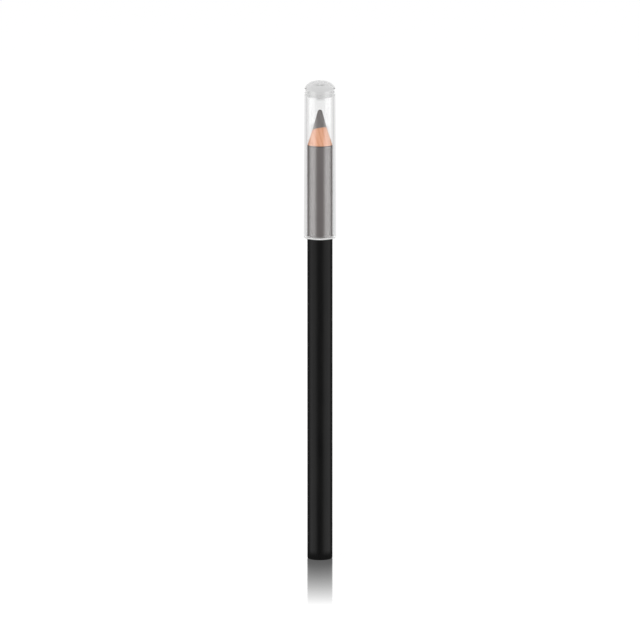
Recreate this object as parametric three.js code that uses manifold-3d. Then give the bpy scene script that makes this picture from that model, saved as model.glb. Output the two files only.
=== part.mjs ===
// A sharpened wooden kohl pencil under its clear pull-off cap, standing on its flat end.
// Millimetres, +Z up along the pencil, origin at the middle of the flat end, front towards -Y.
import * as THREE from "three";
import { mergeVertices } from "three/addons/utils/BufferGeometryUtils.js";
import Module from "manifold-3d";

const wasm = await Module();
wasm.setup();
const { degToRad, radToDeg, lerp, mapLinear } = THREE.MathUtils;

// Driving dimensions of the pencil
const barrelDiameter = 7;
const pencilLength = 126.7;
const woodConeAngle = 18.2; // degrees between the axis and the cut wood
const coreConeAngle = 15.4; // degrees between the axis and the cut core
const noseRadius = 0.65;
const coreDiameter = 3.9;
const coreOffsetX = -0.09; // the core lies a little off the axis, so its cut edge runs aslant
const coreOffsetY = 0.16;
const lacquerThickness = 0.1;
const shadeBandLength = 26; // on the barrel, below the cut cone
const endSealThickness = 0.5;
const endEdgeRounding = 0.3;
const glueThickness = 0.06;
const bondGap = 0.02; // between faces that are stuck together

// Driving dimensions of the cap
const mouthClearance = 0.3; // from the barrel to the drafted bore, at the mouth
const topClearance = 0.18; // how much wider than the barrel the bore still is at its end
const mouthWall = 0.7;
const topWall = 0.59; // at the foot of the dome
const tipClearance = 2.6; // from the pencil's tip to the end of the bore
const solidEndThickness = 5.6; // on the axis
const domeHeight = 2.57;
const ceilingSag = 1.3; // how far the end of the bore bulges towards the tip
const mouthOuterRounding = 0.45;
const mouthInnerRounding = 0.2;

// Driving dimensions of the grip bead, a low ring inside the cap's mouth
const beadClearance = 0.05; // from the bead to the barrel
const beadHeight = 0.8; // from the mouth up to the free bore
const beadSlope = 0.3; // height of the slope from the bead back to the bore

// Fineness of round shapes
const turnSteps = 64;
const arcSteps = 6;

// Sizes of the pencil that follow
const barrelRadius = barrelDiameter / 2;
const coreRadius = coreDiameter / 2;
const woodRadius = barrelRadius - lacquerThickness;
const coatInnerRadius = woodRadius + bondGap;
const stickFoot = endSealThickness + bondGap; // where wood, core and lacquer begin
const noseEdgeRadius = noseRadius * Math.cos(degToRad(coreConeAngle));
const noseEdgeHeight = pencilLength - noseRadius * (1 - Math.sin(degToRad(coreConeAngle)));
const coreEdgeHeight = noseEdgeHeight - (coreRadius - noseEdgeRadius) / Math.tan(degToRad(coreConeAngle));
const coneHeightAt = (radius) => coreEdgeHeight - (radius - coreRadius) / Math.tan(degToRad(woodConeAngle));
const shoulderHeight = coneHeightAt(barrelRadius);
const bandFoot = shoulderHeight - shadeBandLength;

// Sizes of the cap that follow, with heights from its mouth
const capFoot = bandFoot; // the mouth lines up with the foot of the taupe coat
const ceilingHeight = pencilLength + tipClearance - capFoot;
const ceilingEdgeHeight = ceilingHeight + ceilingSag;
const capLength = ceilingHeight + solidEndThickness;
const gripRadius = barrelRadius + beadClearance;
const boreMouthRadius = barrelRadius + mouthClearance;
const boreTopRadius = barrelRadius + topClearance;
const mouthRadius = boreMouthRadius + mouthWall;
const boreRadiusAt = (height) => mapLinear(height, 0, ceilingEdgeHeight, boreMouthRadius, boreTopRadius);

// Geometry and solids

// A shape turned about the Z axis from an outline of [radius, height] points, listed anticlockwise
function turned(outline) {
  const points = outline.map(([radius, height]) => new THREE.Vector2(radius, height));
  return new THREE.LatheGeometry(points, turnSteps).rotateX(Math.PI / 2);
}

// A turned ring, whose outline comes back to its first point
function turnedRing(outline) {
  return turned([...outline, outline[0]]);
}

// Points of a round stretch of an outline: an ellipse's arc between two angles in degrees
function ellipseArc(centreRadius, centreHeight, halfWidth, halfHeight, startAngle, endAngle) {
  return Array.from({ length: arcSteps + 1 }, (_, step) => {
    const angle = degToRad(lerp(startAngle, endAngle, step / arcSteps));
    return [centreRadius + halfWidth * Math.cos(angle), centreHeight + halfHeight * Math.sin(angle)];
  });
}

function circleArc(centreRadius, centreHeight, radius, startAngle, endAngle) {
  return ellipseArc(centreRadius, centreHeight, radius, radius, startAngle, endAngle);
}

// A closed geometry as a solid that can be cut and joined
function solidOf(geometry) {
  const bare = geometry.clone();
  bare.deleteAttribute("normal");
  bare.deleteAttribute("uv");
  const merged = mergeVertices(bare);
  const mesh = new wasm.Mesh({
    numProp: 3,
    vertProperties: merged.attributes.position.array,
    triVerts: new Uint32Array(merged.index.array),
  });
  return new wasm.Manifold(mesh);
}

function geometryOf(solid) {
  const { vertProperties, triVerts } = solid.getMesh();
  const geometry = new THREE.BufferGeometry();
  geometry.setAttribute("position", new THREE.BufferAttribute(vertProperties, 3));
  geometry.setIndex(new THREE.BufferAttribute(triVerts, 1));
  geometry.computeVertexNormals();
  return geometry;
}

// A box given by its lowest and highest corners
function boxBetween(low, high) {
  const size = high.map((value, axis) => value - low[axis]);
  const centre = high.map((value, axis) => (value + low[axis]) / 2);
  return solidOf(new THREE.BoxGeometry(...size).translate(...centre));
}

function piece(name, geometry, finish) {
  const mesh = new THREE.Mesh(geometry, new THREE.MeshStandardMaterial(finish));
  mesh.name = name;
  return mesh;
}

// Finishes
const clearPlastic = { color: 0xf2f2f2, roughness: 0.05, metalness: 0, transparent: true, opacity: 0.25 };
const greyKohl = { color: 0x7b7776, roughness: 0.6, metalness: 0 };
const cutWood = { color: 0xe6b499, roughness: 0.75, metalness: 0 };
const driedGlue = { color: 0xd9c39a, roughness: 0.5, metalness: 0 };
const taupeLacquer = { color: 0x7d7775, roughness: 0.3, metalness: 0 };
const blackLacquer = { color: 0x161616, roughness: 0.25, metalness: 0 };

// What the sharpener leaves of a stick as thick as the wood: foot, side, cut cone and blunt nose
const sharpenedStick = solidOf(
  turned([
    [0, stickFoot],
    [woodRadius, stickFoot],
    [woodRadius, coneHeightAt(woodRadius)],
    [coreRadius, coreEdgeHeight],
    ...circleArc(0, pencilLength - noseRadius, noseRadius, coreConeAngle, 90),
  ]),
);

// A rod along the core's own axis, from the flat end to the tip
function coreRod(radius) {
  const outline = [
    [0, 0],
    [radius, 0],
    [radius, pencilLength],
    [0, pencilLength],
  ];
  return solidOf(turned(outline).translate(coreOffsetX, coreOffsetY, 0));
}

// The kohl core: a round stick, sharpened with the wood and blunted at the nose
function kohlCore() {
  return piece("kohl_core", geometryOf(sharpenedStick.intersect(coreRod(coreRadius))), greyKohl);
}

// The wooden casing with the core's channel through it, parted on the plane through the core's axis
const casing = sharpenedStick.subtract(coreRod(coreRadius + bondGap));
const halfSeam = glueThickness / 2 + bondGap;

function casingFront() {
  const low = [-barrelRadius, -barrelRadius, 0];
  const half = boxBetween(low, [barrelRadius, coreOffsetY - halfSeam, pencilLength]);
  return piece("casing_front", geometryOf(casing.intersect(half)), cutWood);
}

function casingBack() {
  const high = [barrelRadius, barrelRadius, pencilLength];
  const half = boxBetween([-barrelRadius, coreOffsetY + halfSeam, 0], high);
  return piece("casing_back", geometryOf(casing.intersect(half)), cutWood);
}

// The glue in the seam between the halves, on one side of the core
function glueSeam(name, startX, endX) {
  const film = boxBetween(
    [startX, coreOffsetY - glueThickness / 2, 0],
    [endX, coreOffsetY + glueThickness / 2, pencilLength],
  );
  return piece(name, geometryOf(casing.intersect(film)), driedGlue);
}

// The taupe coat, from its foot to the edge that the sharpener cuts
function shadeBand() {
  const outline = [
    [coatInnerRadius, bandFoot],
    [barrelRadius, bandFoot],
    [barrelRadius, shoulderHeight],
    [coatInnerRadius, coneHeightAt(coatInnerRadius)],
  ];
  return piece("shade_band", turnedRing(outline), taupeLacquer);
}

// The black coat, from the end seal up to the taupe coat
function barrelLacquer() {
  const outline = [
    [coatInnerRadius, stickFoot],
    [barrelRadius, stickFoot],
    [barrelRadius, bandFoot - bondGap],
    [coatInnerRadius, bandFoot - bondGap],
  ];
  return piece("barrel_lacquer", turnedRing(outline), blackLacquer);
}

// The dipped seal over the ends of wood, core and lacquer, flat below with a rounded edge
function endSeal() {
  const rounding = Math.min(endEdgeRounding, endSealThickness);
  const outline = [
    [0, 0],
    ...circleArc(barrelRadius - rounding, rounding, rounding, -90, 0),
    [barrelRadius, endSealThickness],
    [0, endSealThickness],
  ];
  return piece("end_seal", turned(outline), blackLacquer);
}

// The clear cap, from its mouth at height 0. Its outline runs along the bulging end of the bore, down the
// drafted bore, over the grip bead, round the mouth, up the drafted wall and over the dome.
function pullOffCap() {
  const ceilingRadius = (boreTopRadius ** 2 + ceilingSag ** 2) / (2 * ceilingSag);
  const ceilingSpan = radToDeg(Math.asin(boreTopRadius / ceilingRadius));
  const rimWidth = mouthRadius - gripRadius;
  const innerRounding = Math.min(mouthInnerRounding, rimWidth / 2, beadHeight / 2);
  const outerRounding = Math.min(mouthOuterRounding, rimWidth - innerRounding);
  const beadFaceTop = Math.max(beadHeight - beadSlope, innerRounding);
  const outline = [
    ...circleArc(0, ceilingHeight + ceilingRadius, ceilingRadius, -90, ceilingSpan - 90),
    [boreRadiusAt(beadHeight), beadHeight],
    [gripRadius, beadFaceTop],
    ...circleArc(gripRadius + innerRounding, innerRounding, innerRounding, 180, 270),
    ...circleArc(mouthRadius - outerRounding, outerRounding, outerRounding, -90, 0),
    ...ellipseArc(0, capLength - domeHeight, boreTopRadius + topWall, domeHeight, 0, 90),
  ];
  return piece("cap", turned(outline), clearPlastic);
}

// Assembly
const pencil = new THREE.Group();
pencil.add(
  kohlCore(),
  casingFront(),
  casingBack(),
  glueSeam("glue_seam_left", -barrelRadius, coreOffsetX),
  glueSeam("glue_seam_right", coreOffsetX, barrelRadius),
  shadeBand(),
  barrelLacquer(),
  endSeal(),
);

const capGroup = new THREE.Group();
capGroup.position.z = capFoot;
capGroup.add(pullOffCap());

const assembly = new THREE.Group();
assembly.add(pencil, capGroup);

export default assembly;
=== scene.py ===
import bpy
import numpy as np
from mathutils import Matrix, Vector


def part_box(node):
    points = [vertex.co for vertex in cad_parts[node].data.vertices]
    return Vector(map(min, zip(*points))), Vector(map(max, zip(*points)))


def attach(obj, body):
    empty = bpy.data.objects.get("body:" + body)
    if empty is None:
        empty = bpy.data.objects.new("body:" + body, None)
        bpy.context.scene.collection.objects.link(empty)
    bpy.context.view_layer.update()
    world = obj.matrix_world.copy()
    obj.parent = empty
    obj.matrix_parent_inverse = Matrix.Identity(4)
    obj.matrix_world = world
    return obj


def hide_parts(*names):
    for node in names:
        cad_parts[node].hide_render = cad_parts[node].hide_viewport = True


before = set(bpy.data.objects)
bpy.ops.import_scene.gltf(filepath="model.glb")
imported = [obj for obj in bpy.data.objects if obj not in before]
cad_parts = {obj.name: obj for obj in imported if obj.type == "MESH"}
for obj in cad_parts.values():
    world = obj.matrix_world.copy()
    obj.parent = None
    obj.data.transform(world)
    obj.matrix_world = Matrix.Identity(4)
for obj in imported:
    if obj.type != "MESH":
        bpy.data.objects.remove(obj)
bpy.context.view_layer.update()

# Kohl core
# A soft stick of waxed pigment, pressed round and glued into the wooden casing.
# The sharpener cuts it with the wood, a little steeper, and use has blunted the point.
core_low, core_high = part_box("kohl_core")
core_middle = (core_low + core_high) / 2
core_radius = (core_high.x - core_low.x) / 2
stick_foot = core_low.z
tip_height = core_high.z
nose_radius = 0.65e-3
core_cone_angle = np.radians(15.4)
wood_cone_angle = np.radians(18.2)
nose_edge_radius = nose_radius * np.cos(core_cone_angle)
nose_edge_height = tip_height - nose_radius * (1 - np.sin(core_cone_angle))
core_edge_height = nose_edge_height - (core_radius - nose_edge_radius) / np.tan(core_cone_angle)
core_columns = 192
core_rows = 72
edge_angle = np.radians(12)  # faces that meet at a wider angle show an edge


def cut_height(radius):
    """Height of the sharpened surface at a distance from the axis: a round nose, then the core's
    cone and, past the core's radius, the wider cone of the wood."""
    nose = tip_height - nose_radius + np.sqrt(np.maximum(nose_radius**2 - radius**2, 0))
    core_cone = nose_edge_height - (radius - nose_edge_radius) / np.tan(core_cone_angle)
    wood_cone = core_edge_height - (radius - core_radius) / np.tan(wood_cone_angle)
    inside = [radius < nose_edge_radius, radius < core_radius]
    return np.select(inside, [nose, core_cone], wood_cone)


def on_the_cut(flat):
    """Points of the sharpened surface above flat points: each takes the cut's height at its
    distance from the axis."""
    height = cut_height(np.linalg.norm(flat, axis=-1, keepdims=True))
    return np.concatenate([flat, height], axis=-1)


def at_height(flat, height):
    """Flat points lifted to one height."""
    return np.concatenate([flat, np.full_like(flat[..., :1], height)], axis=-1)


def circle(centre_x, centre_y, radius, angles):
    """Flat points on a circle: centre plus radius times cosine and sine of each angle."""
    x, y = centre_x + radius * np.cos(angles), centre_y + radius * np.sin(angles)
    return np.stack([x, y], axis=-1)


def full_turn(steps):
    """Equal angles round a full turn, without the last one, which is the first again."""
    return np.linspace(0, 2 * np.pi, steps, endpoint=False)


def skin(name, grid, ring=True, loop=False, first_pole=None, last_pole=None, crease=edge_angle):
    """A mesh over a grid of points. Columns go round the axis and rows go along the profile, and
    four neighbours span a face. A ring joins its last column to its first, a loop its last row to
    its first, and a strip that is a loop gets a flat face at both ends. A pole closes an end by a
    fan."""
    rows, columns = grid.shape[:2]
    points = grid.reshape(-1, 3)
    index = np.arange(rows * columns).reshape(rows, columns)
    ends = [] if ring else [index[:, 0].tolist(), index[::-1, -1].tolist()]
    if ring:
        index = np.append(index, index[:, :1], axis=1)
    if loop:
        index = np.append(index, index[:1], axis=0)
    corners = [index[:-1, :-1], index[:-1, 1:], index[1:, 1:], index[1:, :-1]]
    faces = np.stack(corners, axis=-1).reshape(-1, 4).tolist() + ends
    first_fan = (first_pole, index[0, 1:], index[0, :-1])
    last_fan = (last_pole, index[-1, :-1], index[-1, 1:])
    for pole, left, right in (first_fan, last_fan):
        if pole is not None:
            faces += np.stack([np.full_like(left, len(points)), left, right], axis=-1).tolist()
            points = np.append(points, [pole], axis=0)
    mesh = bpy.data.meshes.new(name)
    mesh.from_pydata(points.tolist(), [], faces)
    mesh.polygons.foreach_set("use_smooth", np.ones(len(faces), dtype=bool))
    mesh.set_sharp_from_angle(angle=crease)
    piece = bpy.data.objects.new(name, mesh)
    bpy.context.scene.collection.objects.link(piece)
    return piece


class Shade:
    """A socket of a node tree. Sums, differences, products, quotients and powers of sockets and
    numbers add Math nodes, and node() adds any other node."""

    def __init__(self, tree, socket=None):
        self.tree = tree
        self.socket = socket

    def node(self, kind, settings=None, inputs=None, output=0):
        """A new node of this kind: first its settings, then the value or link of each input. Gives
        one output, or one for each name in a tuple."""
        made = self.tree.nodes.new("ShaderNode" + kind)
        for name, value in (settings or {}).items():
            setattr(made, name, value)
        for name, value in (inputs or {}).items():
            if isinstance(value, Shade):
                self.tree.links.new(value.socket, made.inputs[name])
            else:
                made.inputs[name].default_value = value
        if isinstance(output, tuple):
            return tuple(Shade(self.tree, made.outputs[name]) for name in output)
        return Shade(self.tree, made.outputs[output]) if made.outputs else None

    def math(self, operation, first, second=0.0):
        """A Math node on one or two values."""
        return self.node("Math", {"operation": operation}, {0: first, 1: second})

    def __add__(self, other):
        return self.math("ADD", self, other)

    def __radd__(self, other):
        return self.math("ADD", other, self)

    def __sub__(self, other):
        return self.math("SUBTRACT", self, other)

    def __rsub__(self, other):
        return self.math("SUBTRACT", other, self)

    def __mul__(self, other):
        return self.math("MULTIPLY", self, other)

    def __rmul__(self, other):
        return self.math("MULTIPLY", other, self)

    def __truediv__(self, other):
        return self.math("DIVIDE", self, other)

    def __rtruediv__(self, other):
        return self.math("DIVIDE", other, self)

    def __pow__(self, other):
        return self.math("POWER", self, other)

    def __rpow__(self, other):
        return self.math("POWER", other, self)

    def axes(self):
        """X, Y and Z of these places."""
        return self.node("SeparateXYZ", inputs={0: self}, output=("X", "Y", "Z"))

    def ramp(self, start, end, low=0.0, high=1.0):
        """A smooth step of this value: low up to start, high from end on."""
        limits = {"Value": self, "From Min": start, "From Max": end, "To Min": low, "To Max": high}
        return self.node("MapRange", {"interpolation_type": "SMOOTHSTEP"}, limits)

    def mix(self, first, second):
        """Two colours mixed by this value."""
        return self.node("Mix", {"data_type": "RGBA"}, {0: self, 6: first, 7: second}, output=2)

    def cloud(self, size, detail=2.0, roughness=0.5):
        """Soft noise from 0 to 1 at these places. Size is that of its lumps, across the pencil and
        along it."""
        across, along = size
        scale = (1 / across, 1 / across, 1 / along)
        scaled = self.node("Mapping", inputs={"Vector": self, "Scale": scale})
        lumps = {"Vector": scaled, "Scale": 1.0, "Detail": detail, "Roughness": roughness}
        return self.node("TexNoise", inputs=lumps)

    def bump(self, strength, depth):
        """Normals of a surface that is raised by this height times depth."""
        return self.node("Bump", inputs={"Strength": strength, "Distance": depth, "Height": self})


def start_finish(name):
    """A new material: the material, its tree and the places on the piece that wears it."""
    material = bpy.data.materials.new(name)
    material.use_nodes = True
    material.node_tree.nodes.clear()
    tree = Shade(material.node_tree)
    return material, tree, tree.node("TexCoord", output="Object")


towards_tip = np.cos(np.linspace(0, np.pi / 2, core_rows))[:-1, None, None]
core_edge = circle(core_middle.x, core_middle.y, core_radius, full_turn(core_columns))
sharpened_core = skin(
    "sharpened_core",
    np.concatenate([at_height(core_edge, stick_foot)[None], on_the_cut(towards_tip * core_edge)]),
    first_pole=(core_middle.x, core_middle.y, stick_foot),
    last_pole=(0, 0, tip_height),
)

kohl_grey = (0.216, 0.200, 0.197, 1)
kohl_dark = (0.152, 0.140, 0.137, 1)
kohl_in_tip_shade = (0.080, 0.073, 0.072, 1)
pigment_size = (0.05e-3, 0.05e-3)
smear_size = (0.5e-3, 1.6e-3)
speckle_range = (0.35, 0.7)  # of the noise, over which one colour passes into the other
kohl_mark_size = (4e-3, 0.07e-3)
tip_shade_length = 0.55e-3
tip_shade_full_length = 0.055e-3

kohl, tree, place = start_finish("kohl")
*_, z = place.axes()
pigment = place.cloud(pigment_size, detail=4, roughness=0.7)
smears = place.cloud(smear_size)
blade_marks = place.cloud(kohl_mark_size, detail=3)
# Painted shade: the point is darker because its top faces up, away from the soft boxes. It is also
# a little smoother there.
tip_shade_and_polish = z.ramp(tip_height - tip_shade_length, tip_height - tip_shade_full_length)
speckled = (pigment * 0.5 + smears * 0.5).ramp(*speckle_range).mix(kohl_dark, kohl_grey)
surface = tree.node("BsdfPrincipled", inputs={
    "Base Color": tip_shade_and_polish.mix(speckled, kohl_in_tip_shade),
    "Roughness": 0.62 - tip_shade_and_polish * 0.14 + pigment * 0.1 - blade_marks * 0.08,
    "Specular IOR Level": 0.35,
    "Normal": (blade_marks + pigment * 0.6).bump(strength=0.35, depth=0.02e-3),
})
tree.node("OutputMaterial", inputs={"Surface": surface})

sharpened_core.data.materials.append(kohl)
sharpened_core.visible_glossy = False  # or the dome's inside mirrors the tip as a dark dash
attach(sharpened_core, "pencil")
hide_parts("kohl_core")

# Wooden casing
# Two grooved halves of light, pinkish cedar-like wood, glued together round the core.
# The stick is turned round, lacquered, and cut to a cone that leaves the grain bare.
wood_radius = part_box("casing_front")[1].x
front_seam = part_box("casing_front")[1].y
back_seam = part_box("casing_back")[0].y
bond_gap = 0.02e-3  # between faces that are stuck together
groove_radius = core_radius + bond_gap
casing_columns = 160
casing_rows = 40


def half_turn(radius, seam, front):
    """Equal angles round one half of a circle, between the two places where it meets the seam's
    line: the arcsine of the seam's distance over the radius, and its mirror."""
    tilt = np.arcsin(seam / radius)
    start, end = (np.pi - tilt, 2 * np.pi + tilt) if front else (tilt, np.pi - tilt)
    return np.linspace(start, end, casing_columns)


def casing_half(name, seam, front):
    """One half of the casing. Its section runs down the groove, out along the foot, up the side and
    in along the cut: straight lines from side to groove, lifted to the sharpened surface."""
    groove_angles = half_turn(groove_radius, seam - core_middle.y, front)
    groove = circle(core_middle.x, core_middle.y, groove_radius, groove_angles)
    side = circle(0, 0, wood_radius, half_turn(wood_radius, seam, front))
    inwards = np.linspace(0, 1, casing_rows)[:-1, None, None]
    cut = on_the_cut(side + inwards * (groove - side))
    down_and_out = [on_the_cut(groove), at_height(groove, stick_foot), at_height(side, stick_foot)]
    return skin(name, np.concatenate([np.stack(down_and_out), cut]), ring=False, loop=True)


wood_light = (0.805, 0.420, 0.265, 1)
wood_dark = (0.645, 0.268, 0.138, 1)
wood_pore = (0.420, 0.190, 0.105, 1)
pith_x = 13e-3
pith_y = 8e-3
year_ring = 0.85e-3
ring_sharpness = 3
waver = 0.7  # of a year ring
waver_size = (3e-3, 14e-3)
fibre_size = (0.07e-3, 2.2e-3)
grain_range = (0.2, 0.95)
pore_size = (0.045e-3, 0.9e-3)
pore_range = (0.66, 0.76)
pore_cover = 0.55
wood_mark_size = (5e-3, 0.09e-3)
smudge_size = (0.15e-3, 0.4e-3)
smudge_range = (0.4, 0.75)
smudge_reach = 0.3e-3
smudge_cover = 0.4


def from_axis(x, y, axis_x, axis_y):
    """Distance of places from an upright axis: the root of the sum of their squared ways to it."""
    return ((x - axis_x) ** 2 + (y - axis_y) ** 2) ** 0.5


cut_wood, tree, place = start_finish("cut_wood")
x, y, _ = place.axes()
fibres = place.cloud(fibre_size, detail=3, roughness=0.6)
pores = place.cloud(pore_size, detail=1).ramp(*pore_range)
blade_marks = place.cloud(wood_mark_size)
rings = from_axis(x, y, pith_x, pith_y) / year_ring + place.cloud(waver_size) * waver
late_wood = tree.math("FRACT", rings) ** ring_sharpness
grained = (late_wood * 0.45 + fibres * 0.75).ramp(*grain_range).mix(wood_light, wood_dark)
porous = (pores * pore_cover).mix(grained, wood_pore)
from_core = from_axis(x, y, core_middle.x, core_middle.y) - core_radius
smudges = from_core.ramp(0, smudge_reach, 1, 0) * place.cloud(smudge_size).ramp(*smudge_range)
raised = fibres + blade_marks * 0.4 - pores * 0.8 - late_wood * 0.2
surface = tree.node("BsdfPrincipled", inputs={
    "Base Color": (smudges * smudge_cover).mix(porous, kohl_grey),
    "Roughness": 0.58 + fibres * 0.14 - late_wood * 0.06 + pores * 0.1,
    "Specular IOR Level": 0.4,
    "Normal": raised.bump(strength=0.5, depth=0.03e-3),
})
tree.node("OutputMaterial", inputs={"Surface": surface})

for name, seam, front in (("casing_front", front_seam, True), ("casing_back", back_seam, False)):
    half = casing_half(name + "_cut", seam, front)
    half.data.materials.append(cut_wood)
    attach(half, "pencil")
    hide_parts(name)

# Glue seams
# The dried film of wood glue between the halves, on both sides of the core.
# It is pressed thin when the halves are clamped, and is cut flush with the wood.
glue_pale = (0.640, 0.440, 0.260, 1)
glue_dark = (0.470, 0.290, 0.150, 1)
blotch_size = (0.3e-3, 0.8e-3)
blotch_range = (0.3, 0.7)
glue_grit_size = (0.04e-3, 0.04e-3)

dried_glue, tree, place = start_finish("dried_glue")
blotches = place.cloud(blotch_size, detail=3).ramp(*blotch_range)
grit = place.cloud(glue_grit_size)
surface = tree.node("BsdfPrincipled", inputs={
    "Base Color": blotches.mix(glue_dark, glue_pale),
    "Roughness": 0.4 + grit * 0.2,
    "Normal": grit.bump(strength=0.3, depth=0.01e-3),
})
tree.node("OutputMaterial", inputs={"Surface": surface})

for name in ("glue_seam_left", "glue_seam_right"):
    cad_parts[name].material_slots[0].material = dried_glue

# Black lacquer coat
# Many thin coats of satin lacquer on the handle's wood, from the sealed end up to the taupe coat.
# It carries fine scratches along the barrel. Its foot is painted shade: there the satin gives way
# to a dull black that takes the highlight away near the floor.
barrel_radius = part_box("barrel_lacquer")[1].x
black_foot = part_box("barrel_lacquer")[0].z
black_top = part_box("barrel_lacquer")[1].z
coat_inner_radius = wood_radius + bond_gap
coat_rounding = 0.03e-3
coat_columns = 256
coat_edge_rows = 5


def arc(centre_radius, centre_height, half_width, half_height, start, end, rows):
    """Points of a profile on an ellipse's arc: its centre plus the half sizes times cosine and sine
    of equal angles, in degrees, from start to end."""
    angles = np.radians(np.linspace(start, end, rows))
    radii = centre_radius + half_width * np.cos(angles)
    return np.stack([radii, centre_height + half_height * np.sin(angles)], axis=-1)


def turn(profile, columns):
    """A profile of radius and height carried round the axis, with a row for each of its points: X
    and Y are the radius times cosine and sine of equal angles."""
    angles = full_turn(columns)
    radius, height = profile[:, :1], profile[:, 1:]
    x, y, z = radius * np.cos(angles), radius * np.sin(angles), height + 0 * angles
    return np.stack([x, y, z], axis=-1)


black_profile = np.concatenate([
    [[coat_inner_radius, black_top], [coat_inner_radius, black_foot], [barrel_radius, black_foot]],
    arc(barrel_radius - coat_rounding, black_top - coat_rounding,
        coat_rounding, coat_rounding, 0, 90, coat_edge_rows),
])
black_coat = skin("black_coat", turn(black_profile, coat_columns), loop=True)

black = (0.0042, 0.0042, 0.0043, 1)
black_haze = (0.0062, 0.0061, 0.0060, 1)
black_scuffed = (0.020, 0.020, 0.020, 1)
black_in_foot_shade = (0.0066, 0.0065, 0.0065, 1)
black_peel_size = (0.45e-3, 0.8e-3)
black_haze_size = (2.5e-3, 12e-3)
black_haze_range = (0.35, 0.7)
scratch_size = (0.03e-3, 5e-3)
scratch_range = (0.72, 0.8)
scratch_cover = 0.12
dust_size = (0.06e-3, 0.06e-3)
dust_range = (0.8, 0.86)
dust_cover = 0.3
foot_shade_up_to = 1.0e-3
satin_from = 2.9e-3
foot_shade_cover = 0.95

black_lacquer, tree, place = start_finish("black_lacquer")
*_, z = place.axes()
orange_peel = place.cloud(black_peel_size, detail=1)
haze = place.cloud(black_haze_size, detail=3)
scratches = place.cloud(scratch_size, detail=1).ramp(*scratch_range)
dust = place.cloud(dust_size, detail=0).ramp(*dust_range)
hazy = haze.ramp(*black_haze_range).mix(black, black_haze)
relief = (orange_peel - scratches * 0.15 + dust * 0.3).bump(strength=0.2, depth=0.01e-3)
satin = tree.node("BsdfPrincipled", inputs={
    "Base Color": (scratches * scratch_cover + dust * dust_cover).mix(hazy, black_scuffed),
    "Roughness": 0.28 + haze * 0.06 + scratches * 0.08,
    "Specular IOR Level": 0.088,
    "Normal": relief,
})
painted_foot_shade = tree.node("BsdfPrincipled", inputs={
    "Base Color": black_in_foot_shade,
    "Roughness": 0.8,
    "Specular IOR Level": 0.02,
    "Normal": relief,
})
# Painted shade: near the floor the satin lacquer gives way to a dull, almost glossless black, which
# takes the highlight off the foot.
foot_shade_mask = z.ramp(foot_shade_up_to, satin_from, foot_shade_cover, 0)
surface = tree.node("MixShader", inputs={0: foot_shade_mask, 1: satin, 2: painted_foot_shade})
tree.node("OutputMaterial", inputs={"Surface": surface})

black_coat.data.materials.append(black_lacquer)
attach(black_coat, "pencil")
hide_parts("barrel_lacquer")

# Taupe shade band
# A satin coat with fine pearl flakes, in the colour of the kohl, which tells the shade.
# It runs from the black coat to the edge that the sharpener cuts, slantwise through its thickness.
band_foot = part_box("shade_band")[0].z
band_cut_rows = 6
cut_radii = np.linspace(barrel_radius, coat_inner_radius, band_cut_rows)
band_profile = np.concatenate([
    [[coat_inner_radius, band_foot]],
    arc(barrel_radius - coat_rounding, band_foot + coat_rounding,
        coat_rounding, coat_rounding, -90, 0, coat_edge_rows),
    np.stack([cut_radii, cut_height(cut_radii)], axis=-1),
])
taupe_coat = skin("taupe_coat", turn(band_profile, coat_columns), loop=True)

taupe = (0.170, 0.154, 0.151, 1)
taupe_deep = (0.140, 0.126, 0.123, 1)
taupe_cut = (0.075, 0.069, 0.067, 1)
flake_size = (0.035e-3, 0.05e-3)
taupe_peel_size = (0.4e-3, 0.7e-3)
taupe_haze_size = (2e-3, 9e-3)
pearl_range = (0.3, 0.7)
rub_size = (0.05e-3, 6e-3)
rub_range = (0.7, 0.8)
shoulder_height = cut_height(barrel_radius)
shoulder_wear = 0.02e-3

taupe_lacquer, tree, place = start_finish("taupe_lacquer")
*_, z = place.axes()
flakes = place.cloud(flake_size, detail=1)
orange_peel = place.cloud(taupe_peel_size, detail=1)
haze = place.cloud(taupe_haze_size, detail=3)
rubbed = place.cloud(rub_size, detail=1).ramp(*rub_range)
bare_cut = z.ramp(shoulder_height - shoulder_wear, shoulder_height + shoulder_wear)
pearly = (flakes * 0.7 + haze * 0.3).ramp(*pearl_range).mix(taupe_deep, taupe)
raised = orange_peel + flakes * 0.5 - rubbed * 0.4
surface = tree.node("BsdfPrincipled", inputs={
    "Base Color": bare_cut.mix(pearly, taupe_cut),
    "Metallic": 0.1 - bare_cut * 0.1,
    "Roughness": 0.34 + flakes * 0.08 + rubbed * 0.1 + bare_cut * 0.3,
    "Specular IOR Level": 0.12,
    "Normal": raised.bump(strength=0.25, depth=0.008e-3),
})
tree.node("OutputMaterial", inputs={"Surface": surface})

taupe_coat.data.materials.append(taupe_lacquer)
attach(taupe_coat, "pencil")
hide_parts("shade_band")

# Dipped end seal
# The flat end is dipped in the same black lacquer, which closes wood, core and coat.
# The dip levels out flat below and draws a rounded edge.
seal_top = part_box("end_seal")[1].z
seal_rounding = 0.3e-3
seal_edge_rows = 12
flat_radii = barrel_radius * np.array([1 / 3, 2 / 3])
seal_profile = np.concatenate([
    np.stack([flat_radii, 0 * flat_radii], axis=-1),
    arc(barrel_radius - seal_rounding, seal_rounding,
        seal_rounding, seal_rounding, -90, 0, seal_edge_rows),
    [[barrel_radius, seal_top]],
])
dipped_end = skin(
    "dipped_end",
    turn(seal_profile, coat_columns),
    first_pole=(0, 0, 0),
    last_pole=(0, 0, seal_top),
)

# The dipped end lies wholly within the lacquer's painted foot shade, so it shows the dull black.
dipped_end.data.materials.append(black_lacquer)
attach(dipped_end, "pencil")
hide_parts("end_seal")
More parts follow.
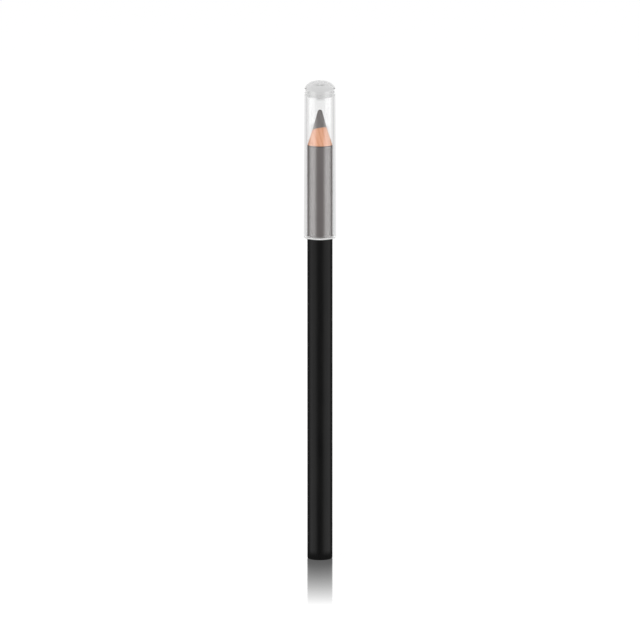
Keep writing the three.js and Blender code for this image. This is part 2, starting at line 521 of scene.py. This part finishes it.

# Clear cap
# Moulded in one piece of clear plastic with a faint grey tint: a drafted tube with a thick domed
# end that bulges towards the tip, and a mouth with a low bead inside that grips the barrel. A matt
# white band round the mouth is a painted highlight, for the bright ring of light at its rounding.
cap_low, cap_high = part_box("cap")
mouth_height = cap_low.z
mouth_radius = cap_high.x
cap_top = cap_high.z
mouth_wall = 0.7e-3
mouth_outer_rounding = 0.45e-3
mouth_inner_rounding = 0.2e-3
bore_mouth_radius = mouth_radius - mouth_wall
bore_top_clearance = 0.18e-3
bore_top_radius = barrel_radius + bore_top_clearance
top_wall = 0.59e-3
top_radius = bore_top_radius + top_wall
dome_height = 2.57e-3
dome_foot = cap_top - dome_height
solid_end = 5.6e-3
ceiling_sag = 1.3e-3
ceiling_height = cap_top - solid_end
ceiling_edge_height = ceiling_height + ceiling_sag
ceiling_radius = (bore_top_radius**2 + ceiling_sag**2) / (2 * ceiling_sag)
ceiling_span = np.degrees(np.arcsin(bore_top_radius / ceiling_radius))
bead_clearance = 0.05e-3
bead_height = 0.8e-3
bead_slope = 0.3e-3
bead_radius = barrel_radius + bead_clearance
bore_taper = bead_height / (ceiling_edge_height - mouth_height)
bore_foot_radius = bore_mouth_radius + bore_taper * (bore_top_radius - bore_mouth_radius)
cap_columns = 384
ceiling_rows = 26
wall_rows = 24
bead_rows = 9
mouth_rows = 9
dome_rows = 36
cap_edge_angle = np.radians(30)


def smooth_step(value):
    """A soft rise from 0 to 1: three times the square of the value less twice its cube."""
    return value**2 * (3 - 2 * value)


def straight(start, end, rows):
    """Points of a profile between two points on a line, closer together towards both: the way
    between them times (1 - cos a) / 2 for equal angles a over half a turn."""
    along = (1 - np.cos(np.linspace(0, np.pi, rows)))[1:-1, None] / 2
    return start + along * np.subtract(end, start)


ceiling = arc(0, ceiling_height + ceiling_radius, ceiling_radius, ceiling_radius,
              -90, ceiling_span - 90, ceiling_rows)[1:]
down_the_bead = np.linspace(1, 0, bead_rows)
bead = np.stack([
    bead_radius + (bore_foot_radius - bead_radius) * smooth_step(down_the_bead),
    mouth_height + bead_height + bead_slope * (down_the_bead - 1),
], axis=-1)
inner_mouth = arc(bead_radius + mouth_inner_rounding, mouth_height + mouth_inner_rounding,
                  mouth_inner_rounding, mouth_inner_rounding, 180, 270, mouth_rows)
outer_mouth = arc(mouth_radius - mouth_outer_rounding, mouth_height + mouth_outer_rounding,
                  mouth_outer_rounding, mouth_outer_rounding, -90, 0, mouth_rows)
dome = arc(0, dome_foot, top_radius, dome_height, 0, 90, dome_rows)[:-1]
bore = straight(ceiling[-1], bead[0], wall_rows)
outside = straight(outer_mouth[-1], dome[0], wall_rows)
cap_profile = np.concatenate([ceiling, bore, bead, inner_mouth, outer_mouth, outside, dome])
clear_cap = skin(
    "clear_cap",
    turn(cap_profile, cap_columns),
    first_pole=(0, 0, ceiling_height),
    last_pole=(0, 0, cap_top),
    crease=cap_edge_angle,
)

pure_white = (1, 1, 1, 1)
rim_highlight_white = (0.97, 0.97, 0.96, 1)
cap_tint = (0.5, 0.5, 0.5, 1)
cap_tint_density = 100.0
cap_ior = 1.49
flow_size = (3e-3, 40e-3)
rim_grit_size = (0.06e-3, 0.06e-3)
rim_highlight_full_up_to = 0.30e-3
clear_height = 0.46e-3
rim_highlight_cover = 0.97

clear_plastic, tree, place = start_finish("clear_plastic")
*_, z = place.axes()
flow = place.cloud(flow_size, detail=1)
grit = place.cloud(rim_grit_size, detail=3)
clear = tree.node("BsdfPrincipled", inputs={
    "Base Color": pure_white,
    "Roughness": 0.0,
    "IOR": cap_ior,
    "Transmission Weight": 1.0,
    "Normal": flow.bump(strength=0.05, depth=0.02e-3),
})
painted_rim_highlight = tree.node("BsdfPrincipled", inputs={
    "Base Color": rim_highlight_white,
    "Roughness": 0.5 + grit * 0.2,
    "Normal": grit.bump(strength=0.2, depth=0.01e-3),
})
# Painted highlight: a matt white band up to just above the mouth's rounding stands in for the
# bright ring of light there.
rim_highlight_mask = z.ramp(mouth_height + rim_highlight_full_up_to, mouth_height + clear_height, rim_highlight_cover, 0)
surface = tree.node("MixShader", inputs={0: rim_highlight_mask, 1: clear, 2: painted_rim_highlight})
let_through = tree.node("BsdfTransparent")  # so that the plastic doesn't shade the pencil
for ray in tree.node("LightPath", output=("Is Reflection Ray", "Is Diffuse Ray", "Is Shadow Ray")):
    surface = tree.node("MixShader", inputs={0: ray, 1: surface, 2: let_through})
tint = tree.node("VolumeAbsorption", inputs={"Color": cap_tint, "Density": cap_tint_density})
tree.node("OutputMaterial", inputs={"Surface": surface, "Volume": tint})

clear_cap.data.materials.append(clear_plastic)
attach(clear_cap, "cap")
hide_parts("cap")

# Floor
# A white sheet with a polished spot under the pencil, which mirrors its foot and fades outwards.
# Through the cap it shows as a plain white card, with a soft grey streak far behind on both sides
# that is seen only through both walls of the hollow part.
floor_half = 3.0
floor_corners = floor_half * np.array([[-1, -1, 0], [1, -1, 0], [1, 1, 0], [-1, 1, 0]])
floor_mesh = bpy.data.meshes.new("floor")
floor_mesh.from_pydata(floor_corners.tolist(), [], [(0, 1, 2, 3)])
floor = bpy.data.objects.new("floor", floor_mesh)
bpy.context.scene.collection.objects.link(floor)
floor.visible_glossy = False
floor.visible_shadow = False

sheet_white = (0.35, 0.35, 0.35, 1)
sheet_glow = 0.83
card_glow = 1.0
card_side = (0.2, 0.5)
card_side_level = 0.85
streak_inner_edge = (0.012, 0.034)
streak_outer_edge = (0.055, 0.11)
streak_near_edge = (0.4, 0.5)
streak_grey = 0.34
streak_faces = 3.5  # a ray through both walls of the hollow part has passed four
mirror_reach = 64e-3
mirror_fade = 1.7
mirror_level = 0.9

white_sheet, tree, place = start_finish("white_sheet")
x, y, _ = place.axes()
camera, transmission, passes = tree.node(
    "LightPath", output=("Is Camera Ray", "Is Transmission Ray", "Transmission Depth")
)
aside = tree.math("ABSOLUTE", x)
streak = aside.ramp(*streak_inner_edge) * aside.ramp(*streak_outer_edge, streak_grey, 0)
streak *= y.ramp(*streak_near_edge) * tree.math("GREATER_THAN", passes, streak_faces)
card = (1 - streak) * aside.ramp(*card_side, 1, card_side_level)
sheet = tree.node("BsdfDiffuse", inputs={"Color": sheet_white})
glow = tree.node("Emission", inputs={"Color": pure_white, "Strength": camera * sheet_glow})
lit = tree.node("AddShader", inputs={0: sheet, 1: glow})
through_cap = tree.node("Emission", inputs={"Color": pure_white, "Strength": card * card_glow})
white = tree.node("MixShader", inputs={0: transmission, 1: lit, 2: through_cap})
polished = tree.node("BsdfGlossy", inputs={"Color": pure_white, "Roughness": 0.0})
from_foot = (from_axis(x, y, 0, 0) - barrel_radius) / mirror_reach
mirrored = (1 - tree.math("MAXIMUM", from_foot, 0) ** mirror_fade) * mirror_level
to_camera = tree.math("MAXIMUM", mirrored, 0) * camera
surface = tree.node("MixShader", inputs={0: to_camera, 1: white, 2: polished})
tree.node("OutputMaterial", inputs={"Surface": surface})
floor.data.materials.append(white_sheet)

# Light
# Two tall soft boxes stand to the left and the right of the camera, and a plain pale room fills in.
# Gloss and glass see the boxes' soft fronts in the room, which is white but dim in front and below.
box_angle = np.radians(45)
box_distance = 0.9
box_width = 0.95
box_height = 1.7
box_middle_height = 0.15
box_radiance = 1.7

for name, angle in (("left_soft_box", -box_angle), ("right_soft_box", box_angle)):
    lamp = bpy.data.lights.new(name, "AREA")
    lamp.shape = "RECTANGLE"
    lamp.size = box_width
    lamp.size_y = box_height
    lamp.energy = box_radiance * np.pi * box_width * box_height
    soft_box = bpy.data.objects.new(name, lamp)
    soft_box.location = (
        box_distance * np.sin(angle),
        -box_distance * np.cos(angle),
        box_middle_height,
    )
    soft_box.rotation_euler = (np.pi / 2, 0, angle)
    soft_box.visible_camera = False
    soft_box.visible_transmission = False
    soft_box.visible_glossy = False
    bpy.context.scene.collection.objects.link(soft_box)

# Soft edges of the fronts from start to end: angles from the front in radians, and heights of a
# direction of length 1. Rough gloss sees the fronts wider, lower and higher than a sharp mirror.
front_shine = 3.0
left_inner_edge = (0.26, 0.80)
left_outer_edge = (1.02, 1.62)
right_inner_edge = (0.30, 0.85)
right_outer_edge = (1.08, 1.68)
lower_edge = (-0.24, -0.20)
upper_edge = (-0.10, -0.04)
gloss_wider = 0.42
gloss_lower = 0.37
gloss_higher = 0.12

# Levels of the room, and where one passes into the next
room_diffuse = 0.42
room_plain = 1.0
room_in_front = 0.15
room_behind = 0.85
room_below = 0.1
front_to_behind = (-0.1, 0.55)
plain_to_dim = (-0.36, -0.28)
below_to_above = (0.05, 0.16)

room = bpy.data.worlds.new("room")
room.use_nodes = True
room.node_tree.nodes.clear()
tree = Shade(room.node_tree)
camera, glossy, transmission, singular = tree.node(
    "LightPath", output=("Is Camera Ray", "Is Glossy Ray", "Is Transmission Ray", "Is Singular Ray")
)
sideways, backwards, upwards = tree.node("TexCoord", output="Generated").axes()
to_the_right = tree.math("ARCTAN2", sideways, backwards * -1)
to_the_left = to_the_right * -1
blurred = 1 - singular
left = to_the_left.ramp(*left_inner_edge)
left *= (to_the_left - blurred * gloss_wider).ramp(*left_outer_edge, 1, 0)
right = to_the_right.ramp(*right_inner_edge)
right *= (to_the_right - blurred * gloss_wider).ramp(*right_outer_edge, 1, 0)
above_the_foot = (upwards + blurred * gloss_lower).ramp(*lower_edge)
under_the_top = (upwards - blurred * gloss_higher).ramp(*upper_edge, 1, 0)
fronts = (left + right) * above_the_foot * under_the_top * front_shine
dim_level = backwards.ramp(*front_to_behind, room_in_front, room_behind)
dim_part = upwards.ramp(*plain_to_dim) * upwards.ramp(*upper_edge, 1, 0)
in_mirror = room_plain + (dim_level - room_plain) * dim_part
in_gloss = upwards.ramp(*below_to_above, room_below, room_plain)
reflected = fronts + in_gloss + (in_mirror - in_gloss) * singular
seen = tree.math("MAXIMUM", camera, transmission)
level = seen + (1 - seen) * (glossy * reflected + (1 - glossy) * room_diffuse)
background = tree.node("Background", inputs={"Color": pure_white, "Strength": level})
tree.node("OutputWorld", inputs={"Surface": background})
bpy.context.scene.world = room
bpy.context.scene.view_settings.view_transform = "Standard"

# Camera
# A long lens from the front, a little above, with the upright pencil in the middle of the frame.
# It stands far off, so the pencil's sides stay nearly parallel.
camera_elevation = np.radians(10.5)
camera_distance = 3.951
camera_aside = 0.02e-3
aim_height = 67.417e-3
focal_length = 800  # millimetres, as the sensor's width
sensor_width = 36

lens = bpy.data.cameras.new("camera")
lens.lens = focal_length
lens.sensor_width = sensor_width
eye = bpy.data.objects.new("camera", lens)
eye.location = (
    camera_aside,
    -camera_distance * np.cos(camera_elevation),
    aim_height + camera_distance * np.sin(camera_elevation),
)
eye.rotation_euler = (np.pi / 2 - camera_elevation, 0, 0)
bpy.context.scene.collection.objects.link(eye)
bpy.context.scene.camera = eye
